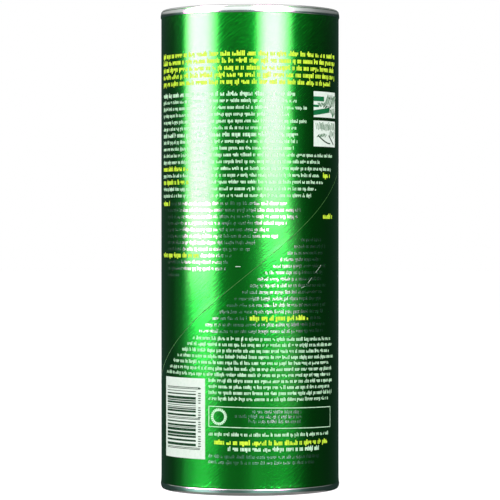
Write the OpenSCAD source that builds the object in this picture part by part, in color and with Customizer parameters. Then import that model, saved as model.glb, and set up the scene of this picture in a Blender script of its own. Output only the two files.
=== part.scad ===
// Scouring powder canister: a spiral-wound board tube full of powder, closed by two rolled steel ends.
// The origin is the centre of the base ring, +Z is up, and the printed side faces -Y.

/* [Canister] */
// Diameter over the rolled steel rims
can_d = 76.2; // [64:0.1:100]
// Height over both rims
can_h = 203.2; // [150:0.1:260]
// Thickness of the foil label with its paper backing
label_t = 0.15; // [0.1:0.05:0.3]

/* [Steel ends] */
// Thickness of the steel plate
plate_t = 0.25; // [0.2:0.05:0.35]
// Thickness of the rolled rim, over the tube wall that it grips
rim_t = 1.6; // [1.4:0.1:2.4]
// Radius of the rim's crest at its two corners
crest_r = 0.6; // [0.5:0.05:0.7]
// How far the top rim comes down over the label
top_rim_h = 3.3; // [2.4:0.1:4.5]
// How far the bottom rim comes up over the label
base_rim_h = 2.7; // [2.4:0.1:4.5]
// Depth of the groove inside the top rim
top_sink = 4; // [3:0.1:6]
// Depth of the groove inside the bottom rim
base_sink = 4; // [3:0.1:6]
// Width of the groove inside each rim
moat_w = 4; // [2.5:0.1:6]
// How far the panel stands back out of its groove
panel_rise = 0.8; // [0.4:0.1:1.4]

/* [Stamped rings] */
// Height of the stamped rings on the panels
bead_h = 0.4; // [0.2:0.1:0.6]
// Width of the flat on top of a stamped ring
bead_w = 1.6; // [1:0.1:2.5]
// Flat left between a stamped ring and the next step outside it
bead_gap = 2.5; // [1.5:0.1:3.5]
// Number of stamped rings on the base panel
base_beads = 3; // [1:1:3]

/* [Shaker] */
// Diameter of one shaker hole
shaker_d = 3.5; // [2:0.1:4]
// Number of shaker holes around the middle one
shaker_n = 6; // [4:1:7]
// Radius of the ring of shaker holes
shaker_ring_r = 8; // [6.5:0.1:9]
// Border of the seal around the shaker holes
seal_border = 4; // [2:0.1:5]
// Thickness of the seal's film
seal_t = 0.2; // [0.1:0.05:0.3]
// Width of the seal's pull tab
tab_w = 10; // [6:0.5:14]
// Length of the seal's pull tab past the round part
tab_l = 6; // [3:0.5:7]

/* [Print] */
// Height of the label that the layout below was drawn for, between the rims
sheet_h = 197.2; // [180:0.1:210]
// Thickness of the printed layer
print_t = 0.1; // [0.05:0.01:0.2]
// Height of a line of small print
line_h = 1.1; // [0.6:0.05:1.6]
// Left margin of the text, in degrees from the front
margin_left = -74; // [-85:1:-60]
// Right margin of the text, in degrees from the front
margin_right = 70; // [60:1:85]
// Rise of the spiral seam for each degree around the tube, as drawn
seam_rise = 0.535; // [0.5:0.005:0.6]
// Height of the spiral seam at the front, as drawn
seam_front = 89.6; // [80:0.1:100]

/* [Bar panel] */
// Left edge of the white bar panel, in degrees from the front
bar_left = -69; // [-80:0.5:-65]
// Right edge of the white bar panel, in degrees from the front
bar_right = -29.5; // [-40:0.5:-28]
// Lower edge of the bar panel above the label's foot, as drawn
bar_low = 12.1; // [8:0.1:20]
// Height of the bar panel, as drawn
bar_panel_h = 33.5; // [25:0.1:40]
// White border above and below the bars
bar_border = 3.8; // [2:0.1:6]
// White margin left of the bars, in degrees
bar_margin_left = 3; // [1:0.5:5]
// White margin right of the bars, in degrees
bar_margin_right = 7; // [3:0.5:9]
// Number of dark bars
bar_n = 22; // [10:1:26]
// Thinnest bar, as a share of the bars' pitch
bar_thinnest = 0.3; // [0.2:0.01:0.4]
// Growth from each of the four bar widths to the next, as a share of the pitch
bar_step = 0.12; // [0.05:0.01:0.16]

/* [Picture panels] */
// Left edge of the picture panels, in degrees from the front
picture_left = 44.5; // [40:0.5:50]
// Height of one picture panel, as drawn
picture_h = 10.8; // [6:0.1:12]
// Lower edges of the picture panels above the label's foot, as drawn
picture_lows = [154.3, 142.1];
// Radius of the round window in a picture panel
picture_window_r = 3.4; // [1.5:0.1:4]

/* [Outline box] */
// Left edge of the outline box, in degrees from the front
box_left = -27; // [-29:0.5:-20]
// Right edge of the outline box, in degrees from the front
box_right = 63; // [50:0.5:75]
// Lower edge of the outline box above the label's foot, as drawn
box_low = 25.7; // [24:0.1:28]
// Height of the outline box, as drawn
box_h = 8.7; // [7:0.1:9.5]
// Width of the outline's line
box_line = 0.35; // [0.2:0.05:0.6]
// Outer radius of the round mark
mark_r = 3.5; // [2:0.1:3.6]
// Width of the round mark's ring
mark_line = 1.1; // [0.4:0.1:1.4]
// Place of the round mark, in degrees from the front
mark_angle = -20; // [-22:0.5:-10]

/* [Hidden] */
$fn = 96;

can_r = can_d / 2;
label_r = can_r - plate_t;
tube_r = label_r - label_t;
wall_in_r = can_r - rim_t;
wall_out_r = wall_in_r + plate_t;
panel_r = wall_in_r - moat_w - panel_rise;
bead_pitch = bead_gap + bead_w + 2 * bead_h;
seal_r = shaker_ring_r + shaker_d / 2 + seal_border;
seat_z = can_h - top_sink + panel_rise;
label_h = can_h - top_rim_h - base_rim_h;
print_r = label_r + print_t;
mitre = tan(22.5);
through = 1;

// Rows of small print: [left edge, right edge, height above the label's foot], in degrees and as drawn
intro_top = 180;
intro_pitch = 2.92;
intro_rows = [for (i = [0:4]) [margin_left, i == 4 ? 64 : margin_right, intro_top - i * intro_pitch]];

upper_top = 163.4;
upper_pitch = 2.8;
upper_ends = [30, 32, 40, 26, 39, 31, 33, 32, 29, 67, 52, 64, 61, 54, 47, 43];
upper_rows = [for (i = [0:len(upper_ends) - 1]) [margin_left, upper_ends[i], upper_top - i * upper_pitch]];

lower_top = 62.3;
lower_pitch = 2.49;
lower_ends = [63, 66, 62, 67, 61, 65, 63, 66, 62, 65, 60];
lower_first_left = -38.8;
lower_step_left = 4.75;
lower_rows_over_bars = 7;
lower_rows = [for (i = [0:len(lower_ends) - 1])
    [i < lower_rows_over_bars ? lower_first_left - lower_step_left * i : box_left,
     lower_ends[i], lower_top - i * lower_pitch]];

closing_rows = [[box_left, 60, 22.7], [-14, 50, 16.7]];

// The two blocks of bare-foil print follow the spiral seam, one above it and one below it
silver_upper_top = 118.1;
silver_upper_ends = [24, 34, 32, 24, 12, 18, 4, 0, -11, -13, -15, -50];
silver_pitch = 2.7;
silver_margin = 8;
silver_upper_rows = [for (i = [0:len(silver_upper_ends) - 1])
    [margin_left + silver_margin, silver_upper_ends[i], silver_upper_top - i * silver_pitch]];

silver_lower_top = 103;
silver_lower_n = 15;
silver_lower_gap = 9;
silver_lower_creep = 0.2;
silver_lower_ends = [52, 57, 54];
silver_lower_rows = [for (i = [0:silver_lower_n - 1]) let (y = silver_lower_top - i * silver_pitch)
    [seam_angle(y) + silver_lower_gap + silver_lower_creep * i, silver_lower_ends[i % 3], y]];

// Short yellow fields where the label has its heavier words, each on one of the rows above
chips = [[margin_left, -42, upper_rows[11][2]], [54, 63, upper_rows[12][2]],
         [margin_left, -42, upper_rows[13][2]], [margin_left, -62, silver_upper_rows[0][2]],
         [54, 66, silver_upper_rows[2][2]], [margin_left, -34, silver_upper_rows[8][2]],
         [0, 40, silver_lower_rows[12][2]]];
chip_gap = 2;
yellow_closing = [-23, 59, 19.3];
silver_closing = [[-27, 50, 13.5], [-27, 45, 11.1]];
box_text_ends = [[1.5, 35], [-9.5, 35.5], [-1, 34]];
box_text_pitch = 2;
box_text_drop = 2.3;
box_text_rows = [for (i = [0:2])
    [box_text_ends[i][0], box_text_ends[i][1], box_low + box_h - box_text_drop - i * box_text_pitch]];

// A row without the stretch where a chip lies on it
function outside(row, chip) = row[2] != chip[2] ? [row]
    : [for (part = [[row[0], chip[0] - chip_gap], [chip[1] + chip_gap, row[1]]])
        if (part[1] > part[0]) [part[0], part[1], row[2]]];
function clear_rows(rows, i = 0) = i == len(chips) ? rows
    : clear_rows([for (row = rows) each outside(row, chips[i])], i + 1);
function seam_angle(y) = (y - seam_front) / seam_rise;
function up(y) = base_rim_h + y * label_h / sheet_h;

// Heights of a stamped panel: each step is [radius, rise], with sides at 45 degrees
function rise_before(steps, i) = i == 0 ? 0 : steps[i - 1][1] + rise_before(steps, i - 1);
function panel_line(steps, t) = [for (i = [0:len(steps) - 1]) let (s = steps[i], z = rise_before(steps, i),
    shift = sign(s[1]) * t * mitre) each [[s[0] + shift, z - t], [s[0] + abs(s[1]) + shift, z + s[1] - t]]];
function reversed(list) = [for (i = [len(list) - 1:-1:0]) list[i]];
function bead_steps(r) = [[r - bead_w - 2 * bead_h, bead_h], [r - bead_h, -bead_h]];
function beads(n) = [for (i = [n - 1:-1:0]) each bead_steps(panel_r - bead_gap - i * bead_pitch)];

module stamped_panel(steps) {
    floor_z = rise_before(steps, len(steps));
    upper_face = concat([[0, 0]], panel_line(steps, 0), [[wall_out_r, floor_z]]);
    under_face = concat([[wall_out_r, floor_z - plate_t]], reversed(panel_line(steps, plate_t)),
                        [[0, -plate_t]]);
    rotate_extrude() polygon(concat(upper_face, under_face));
}

// The plate comes up inside the tube, over its edge and down over the label
module rolled_rim(rim_h, sink) {
    void_t = rim_t - 2 * plate_t;
    tip_r = plate_t / 2;
    translate([0, 0, can_h])
        rotate_extrude() difference() {
            union() {
                translate([wall_in_r, -sink - plate_t]) square([plate_t, sink + plate_t - crest_r]);
                translate([label_r, -rim_h + tip_r]) square([plate_t, rim_h - tip_r - crest_r]);
                translate([label_r + tip_r, -rim_h + tip_r]) circle(tip_r);
                translate([wall_in_r, -2 * crest_r]) square([rim_t, crest_r]);
                for (r = [wall_in_r + crest_r, can_r - crest_r]) translate([r, -crest_r]) circle(crest_r);
                translate([wall_in_r + crest_r, -crest_r]) square([rim_t - 2 * crest_r, crest_r]);
            }
            translate([wall_out_r, -rim_h - through]) square([void_t, rim_h + through - crest_r]);
            for (r = [wall_in_r + crest_r, can_r - crest_r])
                translate([r, -crest_r]) circle(crest_r - plate_t);
            translate([wall_in_r + crest_r, -crest_r - tip_r])
                square([rim_t - 2 * crest_r, crest_r - plate_t + tip_r]);
        }
}

// A field of print on the label, from one angle to another
module field(left, right, low, height, on_r = label_r) {
    rotate([0, 0, left - 90]) rotate_extrude(angle = right - left)
        translate([on_r, low]) square([print_t, height]);
}

module print_row(row) {
    field(row[0], row[1], up(row[2]) - line_h / 2, line_h);
}

module rod_at(angle, z, r) {
    rotate([0, 0, angle]) translate([0, 0, z]) rotate([90, 0, 0]) cylinder(h = can_r + through, r = r);
}

// One solid: the wound board tube and the powder that fills it, which no opening shows
module canister_body() {
    low = base_sink + plate_t;
    high = can_h - top_sink - plate_t;
    color("#b79f7c") rotate_extrude()
        polygon([[0, low], [wall_out_r, low], [wall_out_r, crest_r], [tube_r, crest_r],
                 [tube_r, can_h - crest_r], [wall_out_r, can_h - crest_r], [wall_out_r, high], [0, high]]);
}

module label() {
    color("#0b7a25") translate([0, 0, crest_r]) difference() {
        cylinder(h = can_h - 2 * crest_r, r = label_r);
        translate([0, 0, -through]) cylinder(h = can_h - 2 * crest_r + 2 * through, r = tube_r);
    }
}

module top_end() {
    color("#c9cbcc") difference() {
        union() {
            rolled_rim(top_rim_h, top_sink);
            translate([0, 0, seat_z]) stamped_panel(concat(beads(1), [[panel_r, -panel_rise]]));
        }
        for (i = [0:shaker_n]) rotate([0, 0, i * 360 / shaker_n])
            translate([i == shaker_n ? 0 : shaker_ring_r, 0, seat_z - plate_t - through])
                cylinder(h = plate_t + 2 * through, d = shaker_d);
    }
}

module bottom_end() {
    color("#b9bbbc") translate([0, 0, can_h]) mirror([0, 0, 1]) union() {
        rolled_rim(base_rim_h, base_sink);
        translate([0, 0, can_h - base_sink + panel_rise])
            stamped_panel(concat(beads(base_beads), [[panel_r, -panel_rise]]));
    }
}

// The peel-off film that keeps the powder in until first use
module shaker_seal() {
    color("#e8e8e2") translate([0, 0, seat_z]) linear_extrude(seal_t) {
        circle(seal_r);
        translate([-tab_w / 2, -seal_r - tab_l]) square([tab_w, seal_r + tab_l]);
    }
}

module white_print() {
    color("#f2f5f0") {
        for (row = clear_rows(concat(upper_rows, lower_rows, closing_rows))) print_row(row);
        outline_box();
        round_mark();
    }
}

module outline_box() {
    low = up(box_low);
    high = up(box_low + box_h);
    line_angle = box_line / label_r * 180 / PI;
    open_angle = box_right - box_left - 2 * line_angle;
    difference() {
        field(box_left, box_right, low, high - low);
        rotate([0, 0, box_left + line_angle - 90]) rotate_extrude(angle = open_angle)
            translate([label_r - through, low + box_line])
                square([print_t + 2 * through, high - low - 2 * box_line]);
    }
}

module round_mark() {
    z = up(box_low + box_h / 2);
    reach = 2 * asin(mark_r / label_r);
    difference() {
        intersection() {
            field(mark_angle - reach, mark_angle + reach, z - 2 * mark_r, 4 * mark_r);
            rod_at(mark_angle, z, mark_r);
        }
        rod_at(mark_angle, z, mark_r - mark_line);
    }
}

module yellow_print() {
    color("#e9dc4c") for (row = concat(intro_rows, chips, [yellow_closing])) print_row(row);
}

module silver_print() {
    color("#b9cfbd")
        for (row = clear_rows(concat(silver_upper_rows, silver_lower_rows, silver_closing, box_text_rows)))
            print_row(row);
}

module bar_panel() {
    color("#eef2ec") field(bar_left, bar_right, up(bar_low), up(bar_low + bar_panel_h) - up(bar_low));
}

// Plain dark bars of four widths, with their ends in line
module bar_marks() {
    low = up(bar_low) + bar_border;
    pitch = (up(bar_low + bar_panel_h) - bar_border - low) / bar_n;
    color("#16241b") for (i = [0:bar_n - 1])
        field(bar_left + bar_margin_left, bar_right - bar_margin_right, low + i * pitch,
              pitch * (bar_thinnest + bar_step * (i * 7 % 4)), print_r);
}

module picture_panels() {
    color("#e6efe2") for (low = picture_lows) {
        mid = (up(low) + up(low + picture_h)) / 2;
        difference() {
            field(picture_left, margin_right + 1, up(low), up(low + picture_h) - up(low));
            rod_at((picture_left + margin_right + 1) / 2, mid, picture_window_r);
        }
    }
}

canister_body();
label();
top_end();
bottom_end();
shaker_seal();
white_print();
yellow_print();
silver_print();
bar_panel();
bar_marks();
picture_panels();
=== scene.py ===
import bmesh
import bpy
import math
import random
from mathutils import Matrix, Vector


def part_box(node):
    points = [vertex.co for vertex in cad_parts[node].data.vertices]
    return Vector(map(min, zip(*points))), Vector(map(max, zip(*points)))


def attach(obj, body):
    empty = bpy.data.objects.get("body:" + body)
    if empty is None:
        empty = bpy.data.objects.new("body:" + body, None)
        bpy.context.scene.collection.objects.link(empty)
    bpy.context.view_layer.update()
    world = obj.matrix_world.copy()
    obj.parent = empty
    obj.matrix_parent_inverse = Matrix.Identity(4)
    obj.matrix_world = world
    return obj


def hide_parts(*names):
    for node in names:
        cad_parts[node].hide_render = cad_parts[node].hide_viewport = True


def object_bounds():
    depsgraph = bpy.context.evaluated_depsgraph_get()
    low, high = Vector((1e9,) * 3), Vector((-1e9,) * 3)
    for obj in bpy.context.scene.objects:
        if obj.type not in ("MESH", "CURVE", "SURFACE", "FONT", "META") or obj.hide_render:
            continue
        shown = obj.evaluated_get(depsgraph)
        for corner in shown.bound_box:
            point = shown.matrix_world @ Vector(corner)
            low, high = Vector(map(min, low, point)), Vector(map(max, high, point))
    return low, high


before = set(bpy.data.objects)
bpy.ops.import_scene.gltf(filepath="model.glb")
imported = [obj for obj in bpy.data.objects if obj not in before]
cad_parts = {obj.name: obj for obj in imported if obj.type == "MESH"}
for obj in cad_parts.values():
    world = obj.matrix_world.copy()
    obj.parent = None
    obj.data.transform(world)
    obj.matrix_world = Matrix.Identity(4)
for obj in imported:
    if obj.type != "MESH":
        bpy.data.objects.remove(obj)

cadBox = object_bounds()
mm = 0.001
labelLow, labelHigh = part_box("label")
labelR = labelHigh[0] / mm   # outer radius of the label, from the frame
canR = cadBox[1][0] / mm
canH = cadBox[1][2] / mm
rims = {"top": 3.3, "base": 2.7}   # how far each rim covers the label
sheetLow = rims["base"]
degree = labelR * math.pi / 180   # mm along the label for a degree round the tube
print("frame loaded: label radius %.2f mm, height %.1f mm" % (labelR, canH))


# small helpers

def onTube(angle, z, r=labelR):
    # a place on the tube: angle in degrees from the front, positive to the right; mm in, metres out
    a = math.radians(angle)
    return Vector((r * math.sin(a), -r * math.cos(a), z)) * mm


def softenBy(bm, degrees):
    # edges sharper than this stay crisp when the faces are shaded smooth
    limit = math.radians(degrees)
    for edge in bm.edges:
        edge.smooth = len(edge.link_faces) != 2 or edge.calc_face_angle(0.0) < limit


def addPiece(bm, name, materials, nodes=(), crease=35, flat=False):
    softenBy(bm, crease)
    mesh = bpy.data.meshes.new(name)
    bm.to_mesh(mesh)
    bm.free()
    for face in mesh.polygons:
        face.use_smooth = not flat
    for material in materials:
        mesh.materials.append(material)
    piece = bpy.data.objects.new(name, mesh)
    bpy.context.scene.collection.objects.link(piece)
    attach(piece, "root")
    if nodes:
        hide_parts(*nodes)
    return piece


def spinProfile(bm, points, steps):
    # turns an outline of (radius, height) points in mm once around the tube's axis
    verts = [bm.verts.new((r * mm, 0, z * mm)) for r, z in points]
    edges = [bm.edges.new((verts[i], verts[(i + 1) % len(verts)])) for i in range(len(verts))]
    bmesh.ops.spin(bm, geom=verts + edges, cent=(0, 0, 0), axis=(0, 0, 1), angle=math.tau, steps=steps,
                   use_merge=True)
    bmesh.ops.remove_doubles(bm, verts=bm.verts, dist=0.002 * mm)
    bmesh.ops.dissolve_degenerate(bm, edges=bm.edges, dist=0.001 * mm)
    bmesh.ops.recalc_face_normals(bm, faces=bm.faces)


def arc(cx, cz, r, start, end, n, stretch=1.0):
    turns = [math.radians(start + (end - start) * i / n) for i in range(n + 1)]
    return [(cx + r * math.cos(a), cz + r * stretch * math.sin(a)) for a in turns]


# materials

def newMaterial(name):
    material = bpy.data.materials.new(name)
    material.use_nodes = True
    tree = material.node_tree
    shader = tree.nodes["Principled BSDF"]
    return material, tree, shader


def addNode(tree, kind, **settings):
    node = tree.nodes.new(kind)
    for key, value in settings.items():
        setattr(node, key, value)
    return node


def mapped(tree, source, scale):
    # a Mapping node fed by Object coordinates or by the piece's own UV map
    coords = addNode(tree, "ShaderNodeTexCoord")
    mapping = addNode(tree, "ShaderNodeMapping")
    mapping.inputs["Scale"].default_value = scale
    tree.links.new(coords.outputs[source], mapping.inputs["Vector"])
    return mapping.outputs["Vector"]


def noise(tree, vector, scale, detail=2.0, rough=0.5):
    node = addNode(tree, "ShaderNodeTexNoise")
    node.inputs["Scale"].default_value = scale
    node.inputs["Detail"].default_value = detail
    node.inputs["Roughness"].default_value = rough
    tree.links.new(vector, node.inputs["Vector"])
    return node.outputs["Fac"]


def ramp(tree, value, stops):
    node = addNode(tree, "ShaderNodeValToRGB")
    node.color_ramp.interpolation = "EASE"
    elements = node.color_ramp.elements
    while len(elements) < len(stops):
        elements.new(0.5)
    for element, (place, color) in zip(elements, stops):
        element.position = place
        element.color = (*color, 1)
    tree.links.new(value, node.inputs["Fac"])
    return node.outputs["Color"]


def spread(tree, value, low, high):
    node = addNode(tree, "ShaderNodeMapRange")
    node.inputs["To Min"].default_value = low
    node.inputs["To Max"].default_value = high
    tree.links.new(value, node.inputs["Value"])
    return node.outputs["Result"]


def addUp(tree, values):
    total = values[0]
    for value in values[1:]:
        node = addNode(tree, "ShaderNodeMath", operation="ADD")
        tree.links.new(total, node.inputs[0])
        tree.links.new(value, node.inputs[1])
        total = node.outputs["Value"]
    return total


def timesOf(tree, first, second):
    node = addNode(tree, "ShaderNodeMath", operation="MULTIPLY")
    tree.links.new(first, node.inputs[0])
    tree.links.new(second, node.inputs[1])
    return node.outputs["Value"]


def nearFoot(tree, low, high):
    # 1 at the lower height and below it, 0 from the upper one up, in metres
    parts = addNode(tree, "ShaderNodeSeparateXYZ")
    tree.links.new(mapped(tree, "Object", (1, 1, 1)), parts.inputs["Vector"])
    node = addNode(tree, "ShaderNodeMapRange")
    for socket, value in (("From Min", low), ("From Max", high), ("To Min", 1.0), ("To Max", 0.0)):
        node.inputs[socket].default_value = value
    tree.links.new(parts.outputs["Z"], node.inputs["Value"])
    return node.outputs["Result"]


def addBump(tree, shader, height):
    # the height comes in metres
    bump = addNode(tree, "ShaderNodeBump")
    bump.inputs["Distance"].default_value = 1.0
    bump.inputs["Strength"].default_value = 1.0
    tree.links.new(height, bump.inputs["Height"])
    tree.links.new(bump.outputs["Normal"], shader.inputs["Normal"])


# the spiral seam, in mm: its height at the front, its rise for each degree, and how one edge laps the other
seam = {"front": 92.3, "rise": 0.535, "lap": 0.04, "fade": 2.5, "overlap": 1.4, "line": 0.3, "tuck": 0.03}
seamTilt = math.atan(seam["rise"] / degree)

foil = {
    "color": (0.003, 0.60, 0.028), "deep": (0.002, 0.33, 0.013), "rough": (0.13, 0.18),
    "coatRough": 0.08, "coatIor": 1.43,
    "grain": 0.030, "fibre": 0.060, "waves": 0.04, "pucker": 0.09,   # heights of the bumps in mm
    "puckerTop": 7.5,   # the puckers by the foot end at this height, mm
    "streaks": (-0.75, 0.25), "full": 0.9,   # range of the summed noises, and where the colour is full
}


def foilMaterial():
    # green lacquer on bright foil, with the fine grain of the winding running along the seam
    material, tree, shader = newMaterial("greenFoil")
    shader.inputs["Metallic"].default_value = 1.0
    shader.inputs["Coat Weight"].default_value = 1.0
    shader.inputs["Coat Roughness"].default_value = foil["coatRough"]
    shader.inputs["Coat IOR"].default_value = foil["coatIor"]
    grain = noise(tree, mapped(tree, "UV", (1.3, 1.6, 1.0)), 1.0, 1.0)
    fibre = noise(tree, mapped(tree, "UV", (0.25, 1.8, 1.0)), 1.0, 1.0)
    pucker = noise(tree, mapped(tree, "UV", (0.9, 0.9, 1.0)), 1.0, 1.0)
    blobs = noise(tree, mapped(tree, "UV", (0.10, 0.16, 1.0)), 1.0, 1.0)
    streaks = spread(tree, addUp(tree, [fibre, fibre, blobs, grain]), *foil["streaks"])
    lacquer = ramp(tree, streaks, [(0.0, foil["deep"]), (foil["full"], foil["color"])])
    tree.links.new(lacquer, shader.inputs["Base Color"])
    tree.links.new(spread(tree, fibre, *foil["rough"]), shader.inputs["Roughness"])
    puckers = timesOf(tree, nearFoot(tree, sheetLow * mm, foil["puckerTop"] * mm),
                      spread(tree, pucker, 0, foil["pucker"] * mm))
    addBump(tree, shader, addUp(tree, [spread(tree, grain, 0, foil["grain"] * mm),
                                       spread(tree, fibre, 0, foil["fibre"] * mm),
                                       spread(tree, blobs, 0, foil["waves"] * mm), puckers]))
    return material


inkFinish = {"specular": 0.015, "patches": 900.0, "roughBy": 0.05}


def inkMaterial(name, color, worn, metal=0.0, rough=0.5, coat=0.0):
    # printed ink, matt and slightly uneven; the bare foil is metal under the same lacquer as the label
    material, tree, shader = newMaterial(name)
    shader.inputs["Metallic"].default_value = metal
    shader.inputs["Specular IOR Level"].default_value = inkFinish["specular"]
    shader.inputs["Coat Weight"].default_value = coat
    shader.inputs["Coat Roughness"].default_value = foil["coatRough"]
    patches = noise(tree, mapped(tree, "Object", (1, 1, 1)), inkFinish["patches"])
    tree.links.new(ramp(tree, patches, [(0.3, worn), (0.55, color)]), shader.inputs["Base Color"])
    low, high = rough - inkFinish["roughBy"], rough + inkFinish["roughBy"]
    tree.links.new(spread(tree, patches, low, high), shader.inputs["Roughness"])
    return material


tin = {"dull": (0.60, 0.60, 0.59), "bright": (0.80, 0.80, 0.79), "rough": (0.07, 0.16),
       "lines": 0.002, "scuffs": 0.004}   # heights of the bumps in mm


def tinMaterial():
    # bright tinplate: faint rolling lines, fine scratches and a few dull patches
    material, tree, shader = newMaterial("tinplate")
    shader.inputs["Metallic"].default_value = 1.0
    lines = noise(tree, mapped(tree, "Object", (900, 14, 900)), 1.0)
    scuffs = noise(tree, mapped(tree, "Object", (60, 60, 500)), 1.0, 4.0, 0.7)
    dull = noise(tree, mapped(tree, "Object", (1, 1, 1)), 60.0)
    steel = ramp(tree, dull, [(0.3, tin["dull"]), (0.7, tin["bright"])])
    tree.links.new(steel, shader.inputs["Base Color"])
    tree.links.new(spread(tree, scuffs, *tin["rough"]), shader.inputs["Roughness"])
    addBump(tree, shader, addUp(tree, [spread(tree, lines, 0, tin["lines"] * mm),
                                       spread(tree, scuffs, 0, tin["scuffs"] * mm)]))
    return material


film = {"colors": ((0.74, 0.74, 0.71), (0.80, 0.80, 0.77)), "rough": (0.38, 0.5), "coat": 0.4,
        "coatRough": 0.2, "crinkle": 0.02}   # height of the crinkle in mm


def filmMaterial():
    # satin film of the seal, with a slight crinkle
    material, tree, shader = newMaterial("sealFilm")
    shader.inputs["Coat Weight"].default_value = film["coat"]
    shader.inputs["Coat Roughness"].default_value = film["coatRough"]
    crinkle = noise(tree, mapped(tree, "Object", (1, 1, 1)), 300.0, 3.0)
    satin = ramp(tree, crinkle, [(0.3, film["colors"][0]), (0.7, film["colors"][1])])
    tree.links.new(satin, shader.inputs["Base Color"])
    tree.links.new(spread(tree, crinkle, *film["rough"]), shader.inputs["Roughness"])
    addBump(tree, shader, spread(tree, crinkle, 0, film["crinkle"] * mm))
    return material


kraft = {"colors": ((0.46, 0.36, 0.25), (0.60, 0.49, 0.36)), "rough": (0.75, 0.9)}


def boardMaterial():
    # wound kraft board, which the label and the ends hide
    material, tree, shader = newMaterial("board")
    fibre = noise(tree, mapped(tree, "Object", (1, 1, 4)), 700.0, 3.0)
    brown = ramp(tree, fibre, [(0.3, kraft["colors"][0]), (0.7, kraft["colors"][1])])
    tree.links.new(brown, shader.inputs["Base Color"])
    tree.links.new(spread(tree, fibre, *kraft["rough"]), shader.inputs["Roughness"])
    return material


greenFoil = foilMaterial()
tinplate = tinMaterial()
sealFilm = filmMaterial()
board = boardMaterial()
whiteInk = inkMaterial("whiteInk", (0.66, 0.92, 0.68), (0.46, 0.76, 0.50))
panelInk = inkMaterial("panelInk", (0.81, 0.90, 0.82), (0.74, 0.86, 0.76))
yellowInk = inkMaterial("yellowInk", (0.70, 0.94, 0.06), (0.48, 0.77, 0.05))
# near-black for the bar and picture strokes; the same colour paints shade lines into the left highlight
darkInkAndShade = inkMaterial("darkInkAndShade", (0.012, 0.045, 0.02), (0.03, 0.10, 0.045))
bareFoil = inkMaterial("bareFoil", (0.38, 0.56, 0.42), (0.22, 0.46, 0.26), metal=1.0, rough=0.2, coat=1.0)
seamInk = inkMaterial("seamInk", (0.07, 0.18, 0.05), (0.03, 0.12, 0.03))
fieldInk = inkMaterial("fieldInk", (0.006, 0.17, 0.05), (0.01, 0.13, 0.04))
hatchInk = inkMaterial("hatchInk", (0.14, 0.26, 0.16), (0.22, 0.36, 0.24))
paperEdge = inkMaterial("paperEdge", (0.62, 0.70, 0.62), (0.50, 0.60, 0.50), rough=0.7)
print("materials made")


# the label: one flat strip, wound round the tube so that its two long edges lap along the seam

# the strip stops short of the label's ends by the inset; columns are in degrees, other measures in mm
wrap = {"inset": 0.15, "spare": 2.0, "column": 1.5, "rows": 60, "crowd": 1.6, "thick": 0.09}
# the seaming swells the foot: by how much, over what height, and where the strip is cut to bend, in mm
flare = {"out": 0.10, "fade": 1.3, "under": 0.25, "cuts": (0.05, 0.3, 0.7, 1.2, 1.9, 3.0, 5.0)}


def cutAcross(bm, z, normal=(0, 0, 1), clear=False):
    bmesh.ops.bisect_plane(bm, geom=bm.verts[:] + bm.edges[:] + bm.faces[:], plane_co=(0, 0, z),
                           plane_no=normal, clear_outer=clear)


def windLabel():
    low, high = labelLow[2] / mm + wrap["inset"], labelHigh[2] / mm - wrap["inset"]
    width = seam["rise"] * 360
    start = (low - seam["front"] - width - wrap["spare"]) / seam["rise"]
    end = (high - seam["front"] + wrap["spare"]) / seam["rise"]
    bm = bmesh.new()
    uvs = bm.loops.layers.uv.new("winding")
    columns, rows = round((end - start) / wrap["column"]), wrap["rows"]
    bmesh.ops.create_grid(bm, x_segments=columns, y_segments=rows, size=0.5)
    lean = seam["rise"] / degree
    for vert in bm.verts:
        t = vert.co.y + 0.5
        across = (width + seam["overlap"]) * t ** wrap["crowd"]   # closer rows by the upper lap
        x = (start + (vert.co.x + 0.5) * (end - start)) * degree
        vert.co = (x, across, seam["front"] + lean * x + across)   # y keeps the place across the strip
    cutAcross(bm, low, (0, 0, -1), True)
    cutAcross(bm, high, (0, 0, 1), True)
    for z in flare["cuts"]:
        cutAcross(bm, sheetLow + z)
    for face in bm.faces:
        if sum(vert.co.y for vert in face.verts) / len(face.verts) < seam["line"]:
            face.material_index = 2   # the bare edge of the upper lap
        for loop in face.loops:
            x, z = loop.vert.co.x, loop.vert.co.z
            loop[uvs].uv = (x * math.cos(seamTilt) + z * math.sin(seamTilt),
                            z * math.cos(seamTilt) - x * math.sin(seamTilt))
    for vert in bm.verts:
        across = vert.co.y
        lap = seam["lap"] * math.exp(-across / seam["fade"])
        tuck = seam["tuck"] if across > width else 0.0
        above = vert.co.z - sheetLow - flare["cuts"][1]
        shape = math.exp(-above / flare["fade"]) if above >= 0 else max(0, 1 + above / flare["under"])
        vert.co = onTube(vert.co.x / degree, vert.co.z, labelR + lap - tuck + flare["out"] * shape)
    outward = sum(face.normal.dot(face.calc_center_median().normalized()) for face in bm.faces)
    if outward < 0:
        bmesh.ops.reverse_faces(bm, faces=bm.faces)
    bm.normal_update()
    bmesh.ops.solidify(bm, geom=bm.faces[:], thickness=wrap["thick"] * mm)
    bm.normal_update()
    for face in bm.faces:
        middle = face.calc_center_median()
        radial = Vector((middle.x, middle.y, 0)).normalized()
        if abs(face.normal.dot(radial)) < 0.5:
            face.material_index = 1   # the strip's cut edges
    return addPiece(bm, "label_wrap", [greenFoil, paperEdge, seamInk], ["label"], 40)


labelWrap = windLabel()
print("label wound: %d faces" % len(labelWrap.data.polygons))


# the steel ends

ends = {
    "plate": 0.25, "rimT": 1.6, "crestWide": 1.1,   # the rim's outer shoulder is a tall quarter oval
    "sink": 4.0, "bend": 0.9, "moat": 4.0, "rise": 0.8, "ringH": 0.4, "steps": 256,
    "top": {"rim": rims["top"], "shoulder": 2.7, "rings": [(26.8, 29.2)]},
    "base": {"rim": rims["base"], "shoulder": 2.2, "rings": [(26.8, 29.2), (21.9, 24.3), (17.0, 19.4)]},
}


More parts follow.
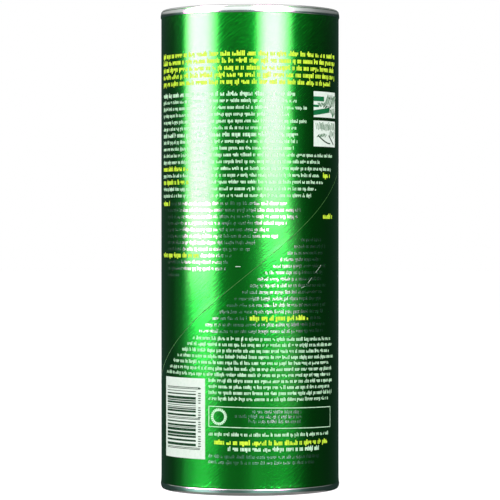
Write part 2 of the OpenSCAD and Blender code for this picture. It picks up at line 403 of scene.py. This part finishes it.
def endPath(end):
    # outer face of the plate from the lip over the label, over the crest and in to the centre
    inner = canR - ends["rimT"]
    path = [(canR - 0.05, -end["rim"] + 0.1), (canR, -end["rim"] + 0.22)]
    wide, high = ends["crestWide"], end["shoulder"]
    path += arc(canR - wide, -high, wide, 0, 90, 14, high / wide)
    back = ends["rimT"] - wide
    path += arc(inner + back, -back, back, 90, 180, 8)[1:]
    bend, floor, tall = ends["bend"], -ends["sink"], ends["ringH"]
    path += arc(inner - bend, floor + bend, bend, 0, -90, 6)
    top = floor + ends["rise"]
    foot = inner - ends["moat"]
    path += easedStep(foot, floor, foot - ends["rise"], top)
    for low, high in end["rings"]:
        path += easedStep(high, top, high - tall, top + tall)
        path += easedStep(low + tall, top + tall, low, top)
    return path + [(0.0, top)]


def easedStep(r0, z0, r1, z1, n=6):
    # a stamped step with both bends rounded
    points = []
    for i in range(n + 1):
        t = i / n
        points.append((r0 + (r1 - r0) * (t * 1.5 - 0.25), z0 + (z1 - z0) * t * t * (3 - 2 * t)))
    return points


def plateOutline(path, thick):
    # closes the plate's section: the path, and the same path one thickness further in
    back = []
    for i, (r, z) in enumerate(path):
        r0, z0 = path[max(i - 1, 0)]
        r1, z1 = path[min(i + 1, len(path) - 1)]
        length = math.hypot(r1 - r0, z1 - z0)
        back.append((max(r + (z0 - z1) / length * thick, 0.0), z + (r1 - r0) / length * thick))
    back[-1] = (0.0, path[-1][1] - thick)
    lip = ((path[0][0] + back[0][0]) / 2, path[0][1] - thick * 0.45)
    return path + back[::-1] + [lip]


def stampEnd(name, end, node, atTop):
    bm = bmesh.new()
    spinProfile(bm, plateOutline(endPath(end), ends["plate"]), ends["steps"])
    if atTop:
        bmesh.ops.translate(bm, verts=bm.verts, vec=(0, 0, canH * mm))
    else:
        bmesh.ops.scale(bm, verts=bm.verts, vec=(1, 1, -1))
        bmesh.ops.recalc_face_normals(bm, faces=bm.faces)
    return addPiece(bm, name, [tinplate], [node], 50)


stampEnd("top_plate", ends["top"], "top_end", True)
stampEnd("base_plate", ends["base"], "bottom_end", False)
print("steel ends stamped")


# the film seal over the shaker holes

seal = {
    "r": 13.75, "thick": 0.18, "rings": 28, "turns": 120,
    "tabW": 10.0, "tabL": 6.0, "tabRound": 1.2, "tabLift": 0.5, "tabSteps": 6,
    "dimple": 0.16, "holeR": 1.75, "ringR": 8.0, "holes": 6,   # the film dips over the holes under it
}


def pressSeal():
    bm = bmesh.new()
    rings = seal["rings"]
    verts = [bm.verts.new((seal["r"] * mm * i / rings, 0, 0)) for i in range(rings + 1)]
    edges = [bm.edges.new((verts[i], verts[i + 1])) for i in range(rings)]
    bmesh.ops.spin(bm, geom=verts + edges, cent=(0, 0, 0), axis=(0, 0, 1), angle=math.tau,
                   steps=seal["turns"], use_merge=True)
    bmesh.ops.remove_doubles(bm, verts=bm.verts, dist=0.01 * mm)
    rimEdges = [e for e in bm.edges if e.is_boundary and all(
        v.co.y < 0 and abs(v.co.x) < seal["tabW"] / 2 * mm for v in e.verts)]
    for step in range(1, seal["tabSteps"] + 1):   # the tab grows out of the front edge
        grown = bmesh.ops.extrude_edge_only(bm, edges=rimEdges)["geom"]
        rimEdges = [g for g in grown if isinstance(g, bmesh.types.BMEdge) and g.is_boundary and all(
            v in grown for v in g.verts)]
        fresh = [g for g in grown if isinstance(g, bmesh.types.BMVert)]
        t = step / seal["tabSteps"]
        lift = seal["tabLift"] * t * t * mm
        for vert in fresh:
            x = vert.co.x / mm
            edgeY = -math.sqrt(max(seal["r"] ** 2 - x ** 2, 0))
            endY = -(seal["r"] + seal["tabL"]) + seal["tabRound"] * (abs(x) / (seal["tabW"] / 2)) ** 6
            vert.co.y = (edgeY + (endY - edgeY) * t) * mm
            vert.co.z = lift
        rimEdges = [e for e in rimEdges if abs(e.verts[0].co.z - lift) < 1e-7
                    and abs(e.verts[1].co.z - e.verts[0].co.z) < 1e-7]
    turns = [math.tau * i / seal["holes"] for i in range(seal["holes"])]
    centres = [(0.0, 0.0)] + [(seal["ringR"] * math.cos(a), seal["ringR"] * math.sin(a)) for a in turns]
    for vert in bm.verts:
        for x, y in centres:
            d = math.hypot(vert.co.x / mm - x, vert.co.y / mm - y) / seal["holeR"]
            if d < 1:
                vert.co.z -= seal["dimple"] * mm * (1 - d * d)
    bmesh.ops.recalc_face_normals(bm, faces=bm.faces)
    if sum(face.normal.z for face in bm.faces) < 0:
        bmesh.ops.reverse_faces(bm, faces=bm.faces)
    bm.normal_update()
    bmesh.ops.solidify(bm, geom=bm.faces[:], thickness=seal["thick"] * mm)
    bmesh.ops.translate(bm, verts=bm.verts, vec=(0, 0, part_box("shaker_seal")[1][2]))
    bmesh.ops.recalc_face_normals(bm, faces=bm.faces)
    return addPiece(bm, "seal_film", [sealFilm], ["shaker_seal"], 30)


pressSeal()
print("seal pressed on")


# print: every mark is a thin block that stands on the label

ink = {"proud": 0.02, "foilProud": 0.008, "sunk": 0.03, "seed": 11}   # mm out of and into the label
smallPrint = {
    "tick": 0.28, "pitch": 0.47, "space": 0.85, "height": 1.12,
    "shares": (0.62, 0.76, 0.82),   # plain ticks, then tall ones set high, then low; the rest are short
    "tall": 1.38, "short": 0.62, "shift": 0.19,   # against the row's height
    "run": (2, 9), "wide": (0.85, 1.3), "apart": (0.86, 1.2),
    "bold": (1.25, 1.15), "yellow": (1.35, 1.3),   # height and weight against the plain rows
}


def block(bm, angle, z, width, height, turn=0.0, proud=None):
    # a flat block centred at an angle and height, width along the tube's girth, turned in the label's plane
    thick = (ink["proud"] if proud is None else proud) + ink["sunk"]
    place = (Matrix.Translation(onTube(angle, z, labelR - ink["sunk"] + thick / 2))
             @ Matrix.Rotation(math.radians(angle), 4, "Z") @ Matrix.Rotation(turn, 4, "Y")
             @ Matrix.Diagonal((width * mm, thick * mm, height * mm, 1)))
    bmesh.ops.create_cube(bm, size=1.0, matrix=place)


def joinRow(bm, row):
    # rows are made apart and joined, because an operator slows down as its bmesh grows
    mesh = bpy.data.meshes.new("row")
    row.to_mesh(mesh)
    row.free()
    bm.from_mesh(mesh)
    bpy.data.meshes.remove(mesh)


def band(bm, left, right, low, high, proud=None):
    # a field that follows the tube from one angle to another
    thick = ink["proud"] if proud is None else proud
    r0, r1 = labelR - ink["sunk"], labelR + thick
    points = [(r0, low), (r1, low), (r1, high), (r0, high)]
    verts = [bm.verts.new(onTube(left, z, r)) for r, z in points]
    edges = [bm.edges.new((verts[i], verts[(i + 1) % 4])) for i in range(4)]
    start = bm.faces.new(verts)
    steps = max(1, round((right - left) / 2))
    bmesh.ops.spin(bm, geom=verts + edges + [start], cent=(0, 0, 0), axis=(0, 0, 1),
                   angle=math.radians(right - left), steps=steps)
    bmesh.ops.recalc_face_normals(bm, faces=list({f for v in verts for f in v.link_faces}))


def droop(angle, slope):
    # the lower print hangs a little to the right, as the sheet was wound
    return -slope * (angle - layout["droopFrom"])


def tickRow(bm, rng, left, right, z, height=None, weight=1.0, proud=None, slope=0.0):
    # a row of plain upright ticks in word-like runs, with nothing to read in it
    height = height or smallPrint["height"]
    x, end = left * degree, right * degree
    row = bmesh.new()
    size = height / smallPrint["height"]
    tick, pitch, space = (smallPrint[k] * size for k in ("tick", "pitch", "space"))
    plain, high, low = smallPrint["shares"]
    shift = smallPrint["shift"]
    while x < end - pitch:
        run = min(rng.randint(*smallPrint["run"]), int((end - x) / pitch))
        for i in range(run):
            draw = rng.random()
            tall, drop = 1.0, 0.0
            if draw >= low:
                tall, drop = smallPrint["short"], rng.choice((-shift, shift))
            elif draw >= plain:
                tall, drop = smallPrint["tall"], shift if draw < high else -shift
            wide = tick * weight * rng.uniform(*smallPrint["wide"])
            angle = (x + tick / 2) / degree
            block(row, angle, z + drop * height + droop(angle, slope), wide, height * tall, 0, proud)
            x += pitch * rng.uniform(*smallPrint["apart"])
        x += space - (pitch - tick)
    joinRow(bm, row)


# where the rows lie: angles in degrees from the front, heights in mm above the lower rim
layout = {
    "left": -74.0, "droopFrom": -27.5, "droop": 0.008, "boxDroop": 0.014,   # droops in mm a degree
    "intro": {"top": 180.0, "pitch": 2.92, "height": 1.55, "weight": 1.25, "ends": [70, 70, 70, 70, 64]},
    "upper": {"top": 163.4, "pitch": 2.8,
              "ends": [30, 32, 40, 26, 39, 31, 33, 32, 29, 67, 52, 64, 50, 54, 47, 43], "bold": [0, 6]},
    "silverUpper": {"top": 118.1, "pitch": 2.7, "left": -66.0,
                    "ends": [24, 34, 32, 24, 12, 18, 4, 0, -11, -13, -15, -50]},
    "silverLower": {"top": 103.0, "pitch": 2.7, "gap": 9.0, "creep": 0.2, "ends": [52, 57, 54], "rows": 15},
    "lower": {"top": 62.3, "pitch": 2.49, "left": -38.8, "step": 4.75, "overBars": 7,
              "ends": [63, 66, 62, 67, 61, 65, 63, 66, 62, 65, 60]},
    "closing": {"white": (-27, 60, 22.7), "bold": (-14, 50, 16.7), "yellow": (-23, 59, 19.3),
                "silver": [(-27, 50, 13.5), (-27, 45, 11.1)]},
}
# yellow stretches within the rows of other colours: left, right, the block of rows and the row in it
chips = [(left, right, layout[part]["top"] - i * layout[part]["pitch"]) for left, right, part, i in (
    (-74, -42, "upper", 11), (54, 63, "upper", 12), (-74, -42, "upper", 13), (-74, -62, "silverUpper", 0),
    (54, 66, "silverUpper", 2), (-74, -34, "silverUpper", 8), (0, 40, "silverLower", 12))]
chipGap = 1.5   # degrees between a chip and the row it stands in
box = {
    "left": -27.0, "right": 63.0, "low": 25.7, "height": 8.7, "line": 0.30,
    "rows": [(1.5, 35), (-9.5, 35.5), (-1, 34)], "firstRow": 1.9, "rowPitch": 2,
    "mark": -20.0, "markR": 3.5, "markLine": 1.1, "markBlocks": 24,
}


def seamAngle(y):
    return (y + sheetLow - seam["front"]) / seam["rise"]


def openParts(left, right, y):
    # the stretches of a row that no chip covers
    parts = [(left, right)]
    for chipLeft, chipRight, chipY in chips:
        if abs(chipY - y) < 0.1:
            sides = [((a, min(b, chipLeft - chipGap)), (max(a, chipRight + chipGap), b)) for a, b in parts]
            parts = [(a, b) for pair in sides for a, b in pair if b - a > chipGap]
    return parts


def whiteRows():
    rows = []
    upper = layout["upper"]
    for i, end in enumerate(upper["ends"]):
        y = upper["top"] - i * upper["pitch"]
        rows += [(a, b, y, i in upper["bold"], 0.0) for a, b in openParts(layout["left"], end, y)]
    lower = layout["lower"]
    for i, end in enumerate(lower["ends"]):
        left = lower["left"] - lower["step"] * i if i < lower["overBars"] else box["left"]
        rows.append((left, end, lower["top"] - i * lower["pitch"], False, layout["droop"]))
    closing = layout["closing"]
    return rows + [(*closing["white"], False, layout["droop"]), (*closing["bold"], True, layout["droop"])]


def silverRows():
    rows = []
    upper, lower = layout["silverUpper"], layout["silverLower"]
    for i, end in enumerate(upper["ends"]):
        y = upper["top"] - i * upper["pitch"]
        rows += [(a, b, y, 0.0) for a, b in openParts(upper["left"], end, y)]
    for i in range(lower["rows"]):
        y = lower["top"] - i * lower["pitch"]
        left = seamAngle(y) + lower["gap"] + lower["creep"] * i
        rows += [(a, b, y, 0.0) for a, b in openParts(left, lower["ends"][i % 3], y)]
    rows += [(*row, layout["droop"]) for row in layout["closing"]["silver"]]
    top = box["low"] + box["height"] - box["firstRow"]
    return rows + [(a, b, top - box["rowPitch"] * i, layout["boxDroop"])
                   for i, (a, b) in enumerate(box["rows"])]


def printWhite(rng):
    bm = bmesh.new()
    for left, right, y, bold, slope in whiteRows():
        taller, weight = smallPrint["bold"] if bold else (1.0, 1.0)
        tickRow(bm, rng, left, right, y + sheetLow, smallPrint["height"] * taller, weight, slope=slope)
    low, high = box["low"] + sheetLow, box["low"] + box["height"] + sheetLow
    line = box["line"]
    lineAngle = math.degrees(line / labelR)
    frameLines = bmesh.new()
    band(frameLines, box["left"], box["right"], low, low + line)
    band(frameLines, box["left"], box["right"], high - line, high)
    band(frameLines, box["left"], box["left"] + lineAngle, low + line, high - line)
    band(frameLines, box["right"] - lineAngle, box["right"], low + line, high - line)
    for vert in frameLines.verts:
        vert.co.z += droop(math.degrees(math.atan2(vert.co.x, -vert.co.y)), layout["boxDroop"]) * mm
    joinRow(bm, frameLines)
    ringMark(bm, box["mark"], (low + high) / 2 + droop(box["mark"], layout["boxDroop"]))
    return addPiece(bm, "print_white", [whiteInk], ["white_print"], 30, True)


def ringMark(bm, angle, z):
    # a plain ring made of short blocks
    count, line = box["markBlocks"], box["markLine"]
    middle = box["markR"] - line / 2
    for i in range(count):
        a = math.tau * i / count
        step = math.degrees(middle * math.cos(a) / labelR)
        block(bm, angle + step, z + middle * math.sin(a), line, math.tau * middle / count * 0.8, -a)


def printYellow(rng):
    bm = bmesh.new()
    intro = layout["intro"]
    for i, end in enumerate(intro["ends"]):
        z = intro["top"] - i * intro["pitch"] + sheetLow
        tickRow(bm, rng, layout["left"], end, z, intro["height"], intro["weight"])
    taller, weight = smallPrint["yellow"]
    for left, right, y in chips:
        tickRow(bm, rng, left, right, y + sheetLow, smallPrint["height"] * taller, weight)
    left, right, y = layout["closing"]["yellow"]
    tickRow(bm, rng, left, right, y + sheetLow, smallPrint["height"] * taller, weight,
            slope=layout["droop"])
    return addPiece(bm, "print_yellow", [yellowInk], ["yellow_print"], 30, True)


def printSilver(rng):
    bm = bmesh.new()
    for left, right, y, slope in silverRows():
        tickRow(bm, rng, left, right, y + sheetLow, proud=ink["foilProud"], slope=slope)
    return addPiece(bm, "print_bare_foil", [bareFoil], ["silver_print"], 30, True)


bars = {
    "left": -69.0, "right": -29.5, "low": 12.1, "height": 33.5, "border": 3.8, "modules": 96, "proud": 0.06,
    "leftGap": 2.8, "longGap": 3.8, "shortGap": 7.0,   # bare paper beside the strokes, in degrees
    "dots": 26, "dotGroup": 6, "dotsAt": 4.2, "dot": (1.5, 0.4),   # a column of small marks, in groups
}


def printBars(rng):
    low = bars["low"] + sheetLow
    high = low + bars["height"]
    bm = bmesh.new()
    band(bm, bars["left"], bars["right"], low, high)
    panel = addPiece(bm, "bar_ground", [panelInk], ["bar_panel"], 30)
    bm = bmesh.new()
    foot = low + bars["border"]
    field = bars["height"] - 2 * bars["border"]
    module = field / bars["modules"]
    half = bars["modules"] // 2
    strokes = [(at, 1, True) for at in (0, 2, half - 2, half, bars["modules"] - 3, bars["modules"] - 1)]
    for at, end in ((5, half - 4), (half + 3, bars["modules"] - 6)):
        while at < end:   # plain strokes of random thickness, which say nothing
            thick = min(rng.choice((1, 2, 2, 3, 4)), end - at)
            strokes.append((at, thick, False))
            at += thick + rng.choice((1, 1, 1, 2, 2, 3))
    for at, thick, isLong in strokes:
        right = bars["right"] - (bars["longGap"] if isLong else bars["shortGap"])
        band(bm, bars["left"] + bars["leftGap"], right, foot + at * module, foot + (at + thick) * module,
             bars["proud"])
    long, thin = bars["dot"]
    for i in range(bars["dots"]):
        z = foot + (i + 0.5) * field / bars["dots"]
        if i % bars["dotGroup"]:
            wide = long * rng.uniform(0.7, 1.0)
            block(bm, bars["right"] - bars["dotsAt"], z, wide, thin, 0, bars["proud"])
    marks = addPiece(bm, "bar_strokes", [darkInkAndShade], ["bar_marks"], 30, True)
    return panel, marks


# two small generic pictures; a patch is its place from the picture's corner, width, height, slant, count
pictures = {
    "left": 44.5, "right": 71.0, "height": 10.8, "lows": (154.3, 142.1),
    "fieldProud": 0.04, "hatchProud": 0.05, "strokeProud": 0.06,
    "bands": [(0, 10.5, 6.7, 8.7), (0, 5, 4.2, 5.2)],   # from and to across, from and to up
    "slats": {"count": 9, "across": (1, 1.9), "up": (1.9, 0.16), "shape": (1.5, 2.1, -0.10)},
    "topHatches": [(19, 7.0, 13, 5.6, 0.6, 13), (9, 5.4, 9, 2.6, -0.9, 7), (22, 2.6, 8, 3.4, -0.5, 7)],
    "footHatches": [(13.5, 8.4, 23, 3.4, -0.25, 19), (8, 4.6, 10, 2.4, 0.9, 8), (21, 5.4, 8, 3.0, 0.3, 6)],
    "topStrokes": [(15, 4.6, 11, 1.9, 1.0, 6), (20, 8.2, 9, 1.3, -0.7, 5)],
}


def hatch(bm, rng, angle, z, wide, high, slant, count, proud):
    # slanting strokes side by side, which fill a patch of a picture
    for i in range(count):
        across = ((i + 0.5) / count - 0.5) * wide + rng.uniform(-0.3, 0.3)
        block(bm, angle + across, z + rng.uniform(-0.12, 0.12) * high, rng.uniform(0.26, 0.52),
              high * rng.uniform(0.55, 1.0), slant, proud)


def printPictures(rng):
    bm = bmesh.new()
    left, right, height = pictures["left"], pictures["right"], pictures["height"]
    top, foot = (low + sheetLow for low in pictures["lows"])
    for low in (top, foot):
        band(bm, left, right, low, low + height)
    grounds = addPiece(bm, "picture_grounds", [panelInk], ["picture_panels"], 30)
    bm = bmesh.new()
    proud = pictures["fieldProud"]
    for a, b, low, high in pictures["bands"]:
        band(bm, left + a, left + b, top + low, top + high, proud)
    slats = pictures["slats"]
    (across, acrossStep), (up, upStep) = slats["across"], slats["up"]
    for i in range(slats["count"]):
        block(bm, left + across + i * acrossStep, top + up + i * upStep, *slats["shape"], proud)
    block(bm, right - 4, top + 1.3, 1.2, 2.0, 0.5, proud)
    fields = addPiece(bm, "picture_fields", [fieldInk], (), 30, True)
    bm = bmesh.new()
    for low, patches in ((top, pictures["topHatches"]), (foot, pictures["footHatches"])):
        for across, up, *patch in patches:
            hatch(bm, rng, left + across, low + up, *patch, pictures["hatchProud"])
    hatches = addPiece(bm, "picture_hatches", [hatchInk], (), 30, True)
    bm = bmesh.new()
    proud = pictures["strokeProud"]
    for across, up, *patch in pictures["topStrokes"]:
        hatch(bm, rng, left + across, top + up, *patch, proud)
    for i in range(12):   # two curved strokes, of short blocks end to end
        t = i / 11
        dip = 3.0 * math.sin(t * math.pi / 2)
        block(bm, left + 4.5 + 13 * t, foot + 4.4 - dip, 0.9, 0.55, 0.5 * (1 - t), proud)
        block(bm, left + 16.5 + 6.5 * t, foot + 4.6 - 3.4 * t, 0.55, 0.6, 0.6, proud)
    strokes = addPiece(bm, "picture_strokes", [darkInkAndShade], (), 30, True)
    return grounds, fields, hatches, strokes


wearAndShade = {
    "blocks": 14, "paleThin": 0.085, "paleGaps": 0.22,   # the gaps are shares of a line's blocks
    "darkThin": 0.07, "darkGaps": 0.12,
    "dashes": [(-7.6, 94.8, 2.2, 0.2), (3.2, 108.9, 1.1, 0.16)],   # angle, height, length, width
    "pale": [((51.6, 95.3), (39.5, 87.9)), ((37.1, 86.6), (34.0, 85.8))],
    # painted shade: near-black lines laid inside the left highlight, where the foil's reflection breaks
    # along the winding
    "dark": [((-26.4, 88.8), (-34.2, 84.2)), ((-33.0, 90.6), (-38.4, 87.6)), ((-28.6, 82.6), (-33.6, 79.6)),
             ((-40.5, 80.4), (-45.0, 77.8))],
}


def brokenLine(bm, rng, start, end, thin, gaps):
    # a broken line from one place on the label to another
    n = wearAndShade["blocks"]
    run = (start[0] - end[0]) * degree / n
    rise = (start[1] - end[1]) / n
    for i in range(n):
        t = (i + 0.5) / n
        angle = start[0] + (end[0] - start[0]) * t
        z = start[1] + (end[1] - start[1]) * t + rng.uniform(-0.06, 0.06)
        if rng.random() > gaps:
            wide = thin * rng.uniform(0.7, 1.3)
            block(bm, angle, z, math.hypot(run, rise) * 1.1, wide, -math.atan2(rise, run))


def scratchesAndPaintedShade(rng):
    # bright dashes, pale scratches through the lacquer, and painted shade: near-black lines along the
    # winding inside the left highlight, where the foil's reflection breaks
    bm = bmesh.new()
    for angle, z, length, width in wearAndShade["dashes"]:
        block(bm, angle, z, length, width)
    for start, end in wearAndShade["pale"]:
        brokenLine(bm, rng, start, end, wearAndShade["paleThin"], wearAndShade["paleGaps"])
    pale = addPiece(bm, "lacquer_scratches", [panelInk], (), 30, True)
    bm = bmesh.new()
    # painted shade: dark lines along the winding where the left highlight breaks
    for start, end in wearAndShade["dark"]:
        brokenLine(bm, rng, start, end, wearAndShade["darkThin"], wearAndShade["darkGaps"])
    dark = addPiece(bm, "painted_shade_lines", [darkInkAndShade], (), 30, True)
    return pale, dark


rng = random.Random(ink["seed"])
printPieces = [printWhite(rng), printYellow(rng), printSilver(rng), *printBars(rng), *printPictures(rng),
               *scratchesAndPaintedShade(rng)]
print("print laid down: %d faces" % sum(len(p.data.polygons) for p in printPieces))

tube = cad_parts["canister_body"].data   # the filled tube keeps its CAD shape
tube.materials.clear()
tube.materials.append(board)


# the studio: white ground, plain soft light, and a tent of cards that only reflections see

studio = {
    "ambient": 0.55, "floorColor": 0.32, "floorGlow": 0.84, "floorZ": -0.00005, "floorSize": 6.0,
    "footGlow": 0.3,
    "cardR": 0.80, "cardGap": 0.01, "low": -0.45, "high": 1.35,   # the tent's size in metres
    "tint": (0.50, 1.0, 0.84), "stripTint": (1.0, 0.37, 0.76), "footTint": (1.0, 0.50, 0.84),
    "lamps": [   # name, place, size in metres, watts
        ("keyLamp", (-0.9, -1.1, 1.0), (1.0, 1.0), 20.0),
        ("fillLamp", (1.0, -1.0, 0.7), (1.0, 1.0), 12.8),
        ("backLamp", (0.2, 1.2, 1.0), (1.2, 1.0), 8.0),
    ],
    "lampsAim": (0, 0, 0.1),
}
# the tent's brightness by azimuth from the camera's side, in degrees, positive to the right
tent = [(-180, 0.05), (-160, 0.05), (-118, 0.06), (-100, 0.17), (-85, 0.62), (-70, 1.02), (-59, 1.02),
        (-47, 0.62), (-36, 0.36), (-25, 0.24), (-13, 0.22), (-4, 0.29), (6, 0.52), (20, 0.53), (44, 0.56),
        (60, 0.25), (73, 0.11), (87, 0.06), (121, 0.04), (160, 0.04), (180, 0.05)]
strips = [   # soft lamps: their brightness by azimuth, and by height in metres
    {"name": "stripLeft", "power": 24, "across": [(-95, 0), (-73, 1), (-60, 1), (-36, 0)],
     "up": [(0.055, 0.0), (0.085, 0.27), (0.107, 0.75), (0.14, 1.0)]},
    {"name": "stripLeftFoot", "power": 1.25, "tint": studio["footTint"],
     "across": [(-80, 0), (-60, 1), (-50, 1), (-36, 0)],
     "up": [(-0.05, 0.1), (0.02, 1.0), (0.085, 1.0), (0.12, 0.0)]},
    {"name": "stripRight", "power": 26, "across": [(4, 0), (24, 1), (32, 1), (59, 0)],
     "up": [(0.075, 0.0), (0.10, 0.045), (0.137, 0.55), (0.17, 0.85), (0.22, 1.0)]},
    {"name": "stripRightFoot", "power": 1.15, "tint": studio["footTint"],
     "across": [(20, 0), (38, 1), (52, 1), (72, 0)],
     "up": [(-0.05, 0.0), (0.03, 0.8), (0.11, 1.0), (0.15, 0.0)]},
    {"name": "tentSky", "power": 1.5, "tint": (1.0, 1.0, 1.0),   # the tent is paler higher up
     "across": [(-180, 0.25), (-118, 0.5), (-60, 0.6), (-40, 0.9), (50, 0.9), (80, 0.4), (110, 0.2),
                (180, 0.2)],
     "up": [(0.275, 0.0), (0.34, 0.8), (0.9, 1.0)]},
]


def cameraRays(tree):
    # 1 for rays that show the background: to the camera, in gloss and through glass
    path = addNode(tree, "ShaderNodeLightPath")
    either = addUp(tree, [path.outputs["Is Camera Ray"], path.outputs["Is Glossy Ray"],
                          path.outputs["Is Transmission Ray"]])
    clamp = addNode(tree, "ShaderNodeClamp")
    tree.links.new(either, clamp.inputs["Value"])
    return clamp.outputs["Result"]


def whiteWorld():
    world = bpy.data.worlds.new("studioWorld")
    bpy.context.scene.world = world
    world.use_nodes = True
    tree = world.node_tree
    background = tree.nodes["Background"]
    background.inputs["Color"].default_value = (1, 1, 1, 1)
    strength = spread(tree, cameraRays(tree), studio["ambient"], 1.0)
    tree.links.new(strength, background.inputs["Strength"])


def floorMaterial():
    material, tree, shader = newMaterial("floorPaper")
    shader.inputs["Base Color"].default_value = (*(studio["floorColor"],) * 3, 1)
    shader.inputs["Roughness"].default_value = 0.9
    shader.inputs["Specular IOR Level"].default_value = 0.0
    shader.inputs["Emission Color"].default_value = (1, 1, 1, 1)
    glow = spread(tree, cameraRays(tree), 0.0, studio["floorGlow"])
    tree.links.new(glow, shader.inputs["Emission Strength"])
    return material


def levels(tree, value, stops, power):
    # brightness stops between 0 and 1, times a power
    top = max(level for _, level in stops)
    grey = ramp(tree, value, [(place, (level / top,) * 3) for place, level in stops])
    node = addNode(tree, "ShaderNodeMath", operation="MULTIPLY")
    tree.links.new(grey, node.inputs[0])
    node.inputs[1].default_value = power * top
    return node.outputs["Value"]


def cardMaterial(name, span, across, up=None, power=1.0, tint=(1, 1, 1)):
    # a glowing card, brightest where its stops say; a strip adds its light to the card behind it
    material = bpy.data.materials.new(name)
    material.use_nodes = True
    tree = material.node_tree
    tree.nodes.clear()
    out = addNode(tree, "ShaderNodeOutputMaterial")
    glow = addNode(tree, "ShaderNodeEmission")
    parts = addNode(tree, "ShaderNodeSeparateXYZ")
    tree.links.new(mapped(tree, "UV", (1, 1, 1)), parts.inputs["Vector"])
    first, last = span
    stops = [((place - first) / (last - first), level) for place, level in across]
    strength = levels(tree, parts.outputs["X"], stops, power)
    if up:
        low, high = studio["low"], studio["high"]
        rise = [((z - low) / (high - low), level) for z, level in up]
        strength = timesOf(tree, strength, levels(tree, parts.outputs["Y"], rise, 1.0))
    glow.inputs["Color"].default_value = (*tint, 1)
    tree.links.new(strength, glow.inputs["Strength"])
    surface = glow.outputs["Emission"]
    if up:
        added = addNode(tree, "ShaderNodeAddShader")
        tree.links.new(surface, added.inputs[0])
        tree.links.new(addNode(tree, "ShaderNodeBsdfTransparent").outputs["BSDF"], added.inputs[1])
        surface = added.outputs["Shader"]
    tree.links.new(surface, out.inputs["Surface"])
    return material


def stagePiece(bm, name, material):
    mesh = bpy.data.meshes.new(name)
    bm.to_mesh(mesh)
    bm.free()
    mesh.materials.append(material)
    piece = bpy.data.objects.new(name, mesh)
    bpy.context.scene.collection.objects.link(piece)
    return piece


def glossCard(name, span, ends, material):
    # a card spun round the tube's axis from one end's line to its last azimuth, seen by gloss rays alone
    first, last = span
    (r0, z0), (r1, z1) = ends
    bm = bmesh.new()
    a = math.radians(first)
    feet = [bm.verts.new((r * math.sin(a), -r * math.cos(a), z)) for r, z in ((r0, z0), (r1, z1))]
    edge = bm.edges.new(feet)
    steps = max(2, round((last - first) / 2))
    bmesh.ops.spin(bm, geom=feet + [edge], cent=(0, 0, 0), axis=(0, 0, 1), angle=math.radians(last - first),
                   steps=steps)
    uvs = bm.loops.layers.uv.new("place")
    for face in bm.faces:
        turns = [math.degrees(math.atan2(loop.vert.co.x, -loop.vert.co.y)) for loop in face.loops]
        wraps = max(turns) - min(turns) > 180
        for loop, turn in zip(face.loops, turns):
            turn = turn + 360 if wraps and turn < 0 else turn
            if turn > last + 1:
                turn -= 360
            height = (loop.vert.co.z - studio["low"]) / (studio["high"] - studio["low"])
            loop[uvs].uv = ((turn - first) / (last - first), height)
    card = stagePiece(bm, name, material)
    card.visible_camera = False
    card.visible_diffuse = False
    card.visible_transmission = False
    card.visible_volume_scatter = False
    card.visible_shadow = False


def buildStudio():
    whiteWorld()
    bm = bmesh.new()
    bmesh.ops.create_grid(bm, x_segments=1, y_segments=1, size=studio["floorSize"])
    bmesh.ops.translate(bm, verts=bm.verts, vec=(0, 0, studio["floorZ"]))
    floor = stagePiece(bm, "floor", floorMaterial())
    floor.visible_glossy = False   # the tent's foot is mirrored in its place
    r, low, high = studio["cardR"], studio["low"], studio["high"]
    around = (-180, 180)
    glossCard("tentWall", around, ((r, low), (r, high)),
              cardMaterial("tentWall", around, tent, tint=studio["tint"]))
    glossCard("tentFoot", around, ((0.001, low), (r, low)),
              cardMaterial("tentFoot", around, [(-180, 1.0), (180, 1.0)], power=studio["footGlow"]))
    for i, strip in enumerate(strips):
        span = (strip["across"][0][0], strip["across"][-1][0])
        tint = strip.get("tint", studio["stripTint"])
        material = cardMaterial(strip["name"], span, strip["across"], strip["up"], strip["power"], tint)
        nearer = r - studio["cardGap"] * (i + 1)
        glossCard(strip["name"], span, ((nearer, low), (nearer, high)), material)


def softLamp(name, place, size, energy):
    lamp = bpy.data.lights.new(name, "AREA")
    lamp.shape = "RECTANGLE"
    lamp.size, lamp.size_y = size
    lamp.energy = energy
    holder = bpy.data.objects.new(name, lamp)
    holder.location = place
    toAim = Vector(studio["lampsAim"]) - Vector(place)
    holder.rotation_euler = toAim.to_track_quat("-Z", "Y").to_euler()
    holder.visible_glossy = False
    holder.visible_camera = False
    bpy.context.scene.collection.objects.link(holder)


view = {"place": (0, -1.12, 0.1092), "aim": (0, 0, 0.1014), "lens": 188.8, "sensor": 36}


def addCamera():
    camera = bpy.data.cameras.new("camera")
    camera.lens = view["lens"]
    camera.sensor_width = view["sensor"]
    holder = bpy.data.objects.new("camera", camera)
    holder.location = view["place"]
    toAim = Vector(view["aim"]) - Vector(holder.location)
    holder.rotation_euler = toAim.to_track_quat("-Z", "Y").to_euler()
    bpy.context.scene.collection.objects.link(holder)
    bpy.context.scene.camera = holder


buildStudio()
for lamp in studio["lamps"]:
    softLamp(*lamp)
addCamera()
bpy.context.scene.view_settings.view_transform = "Standard"
print("studio set up")
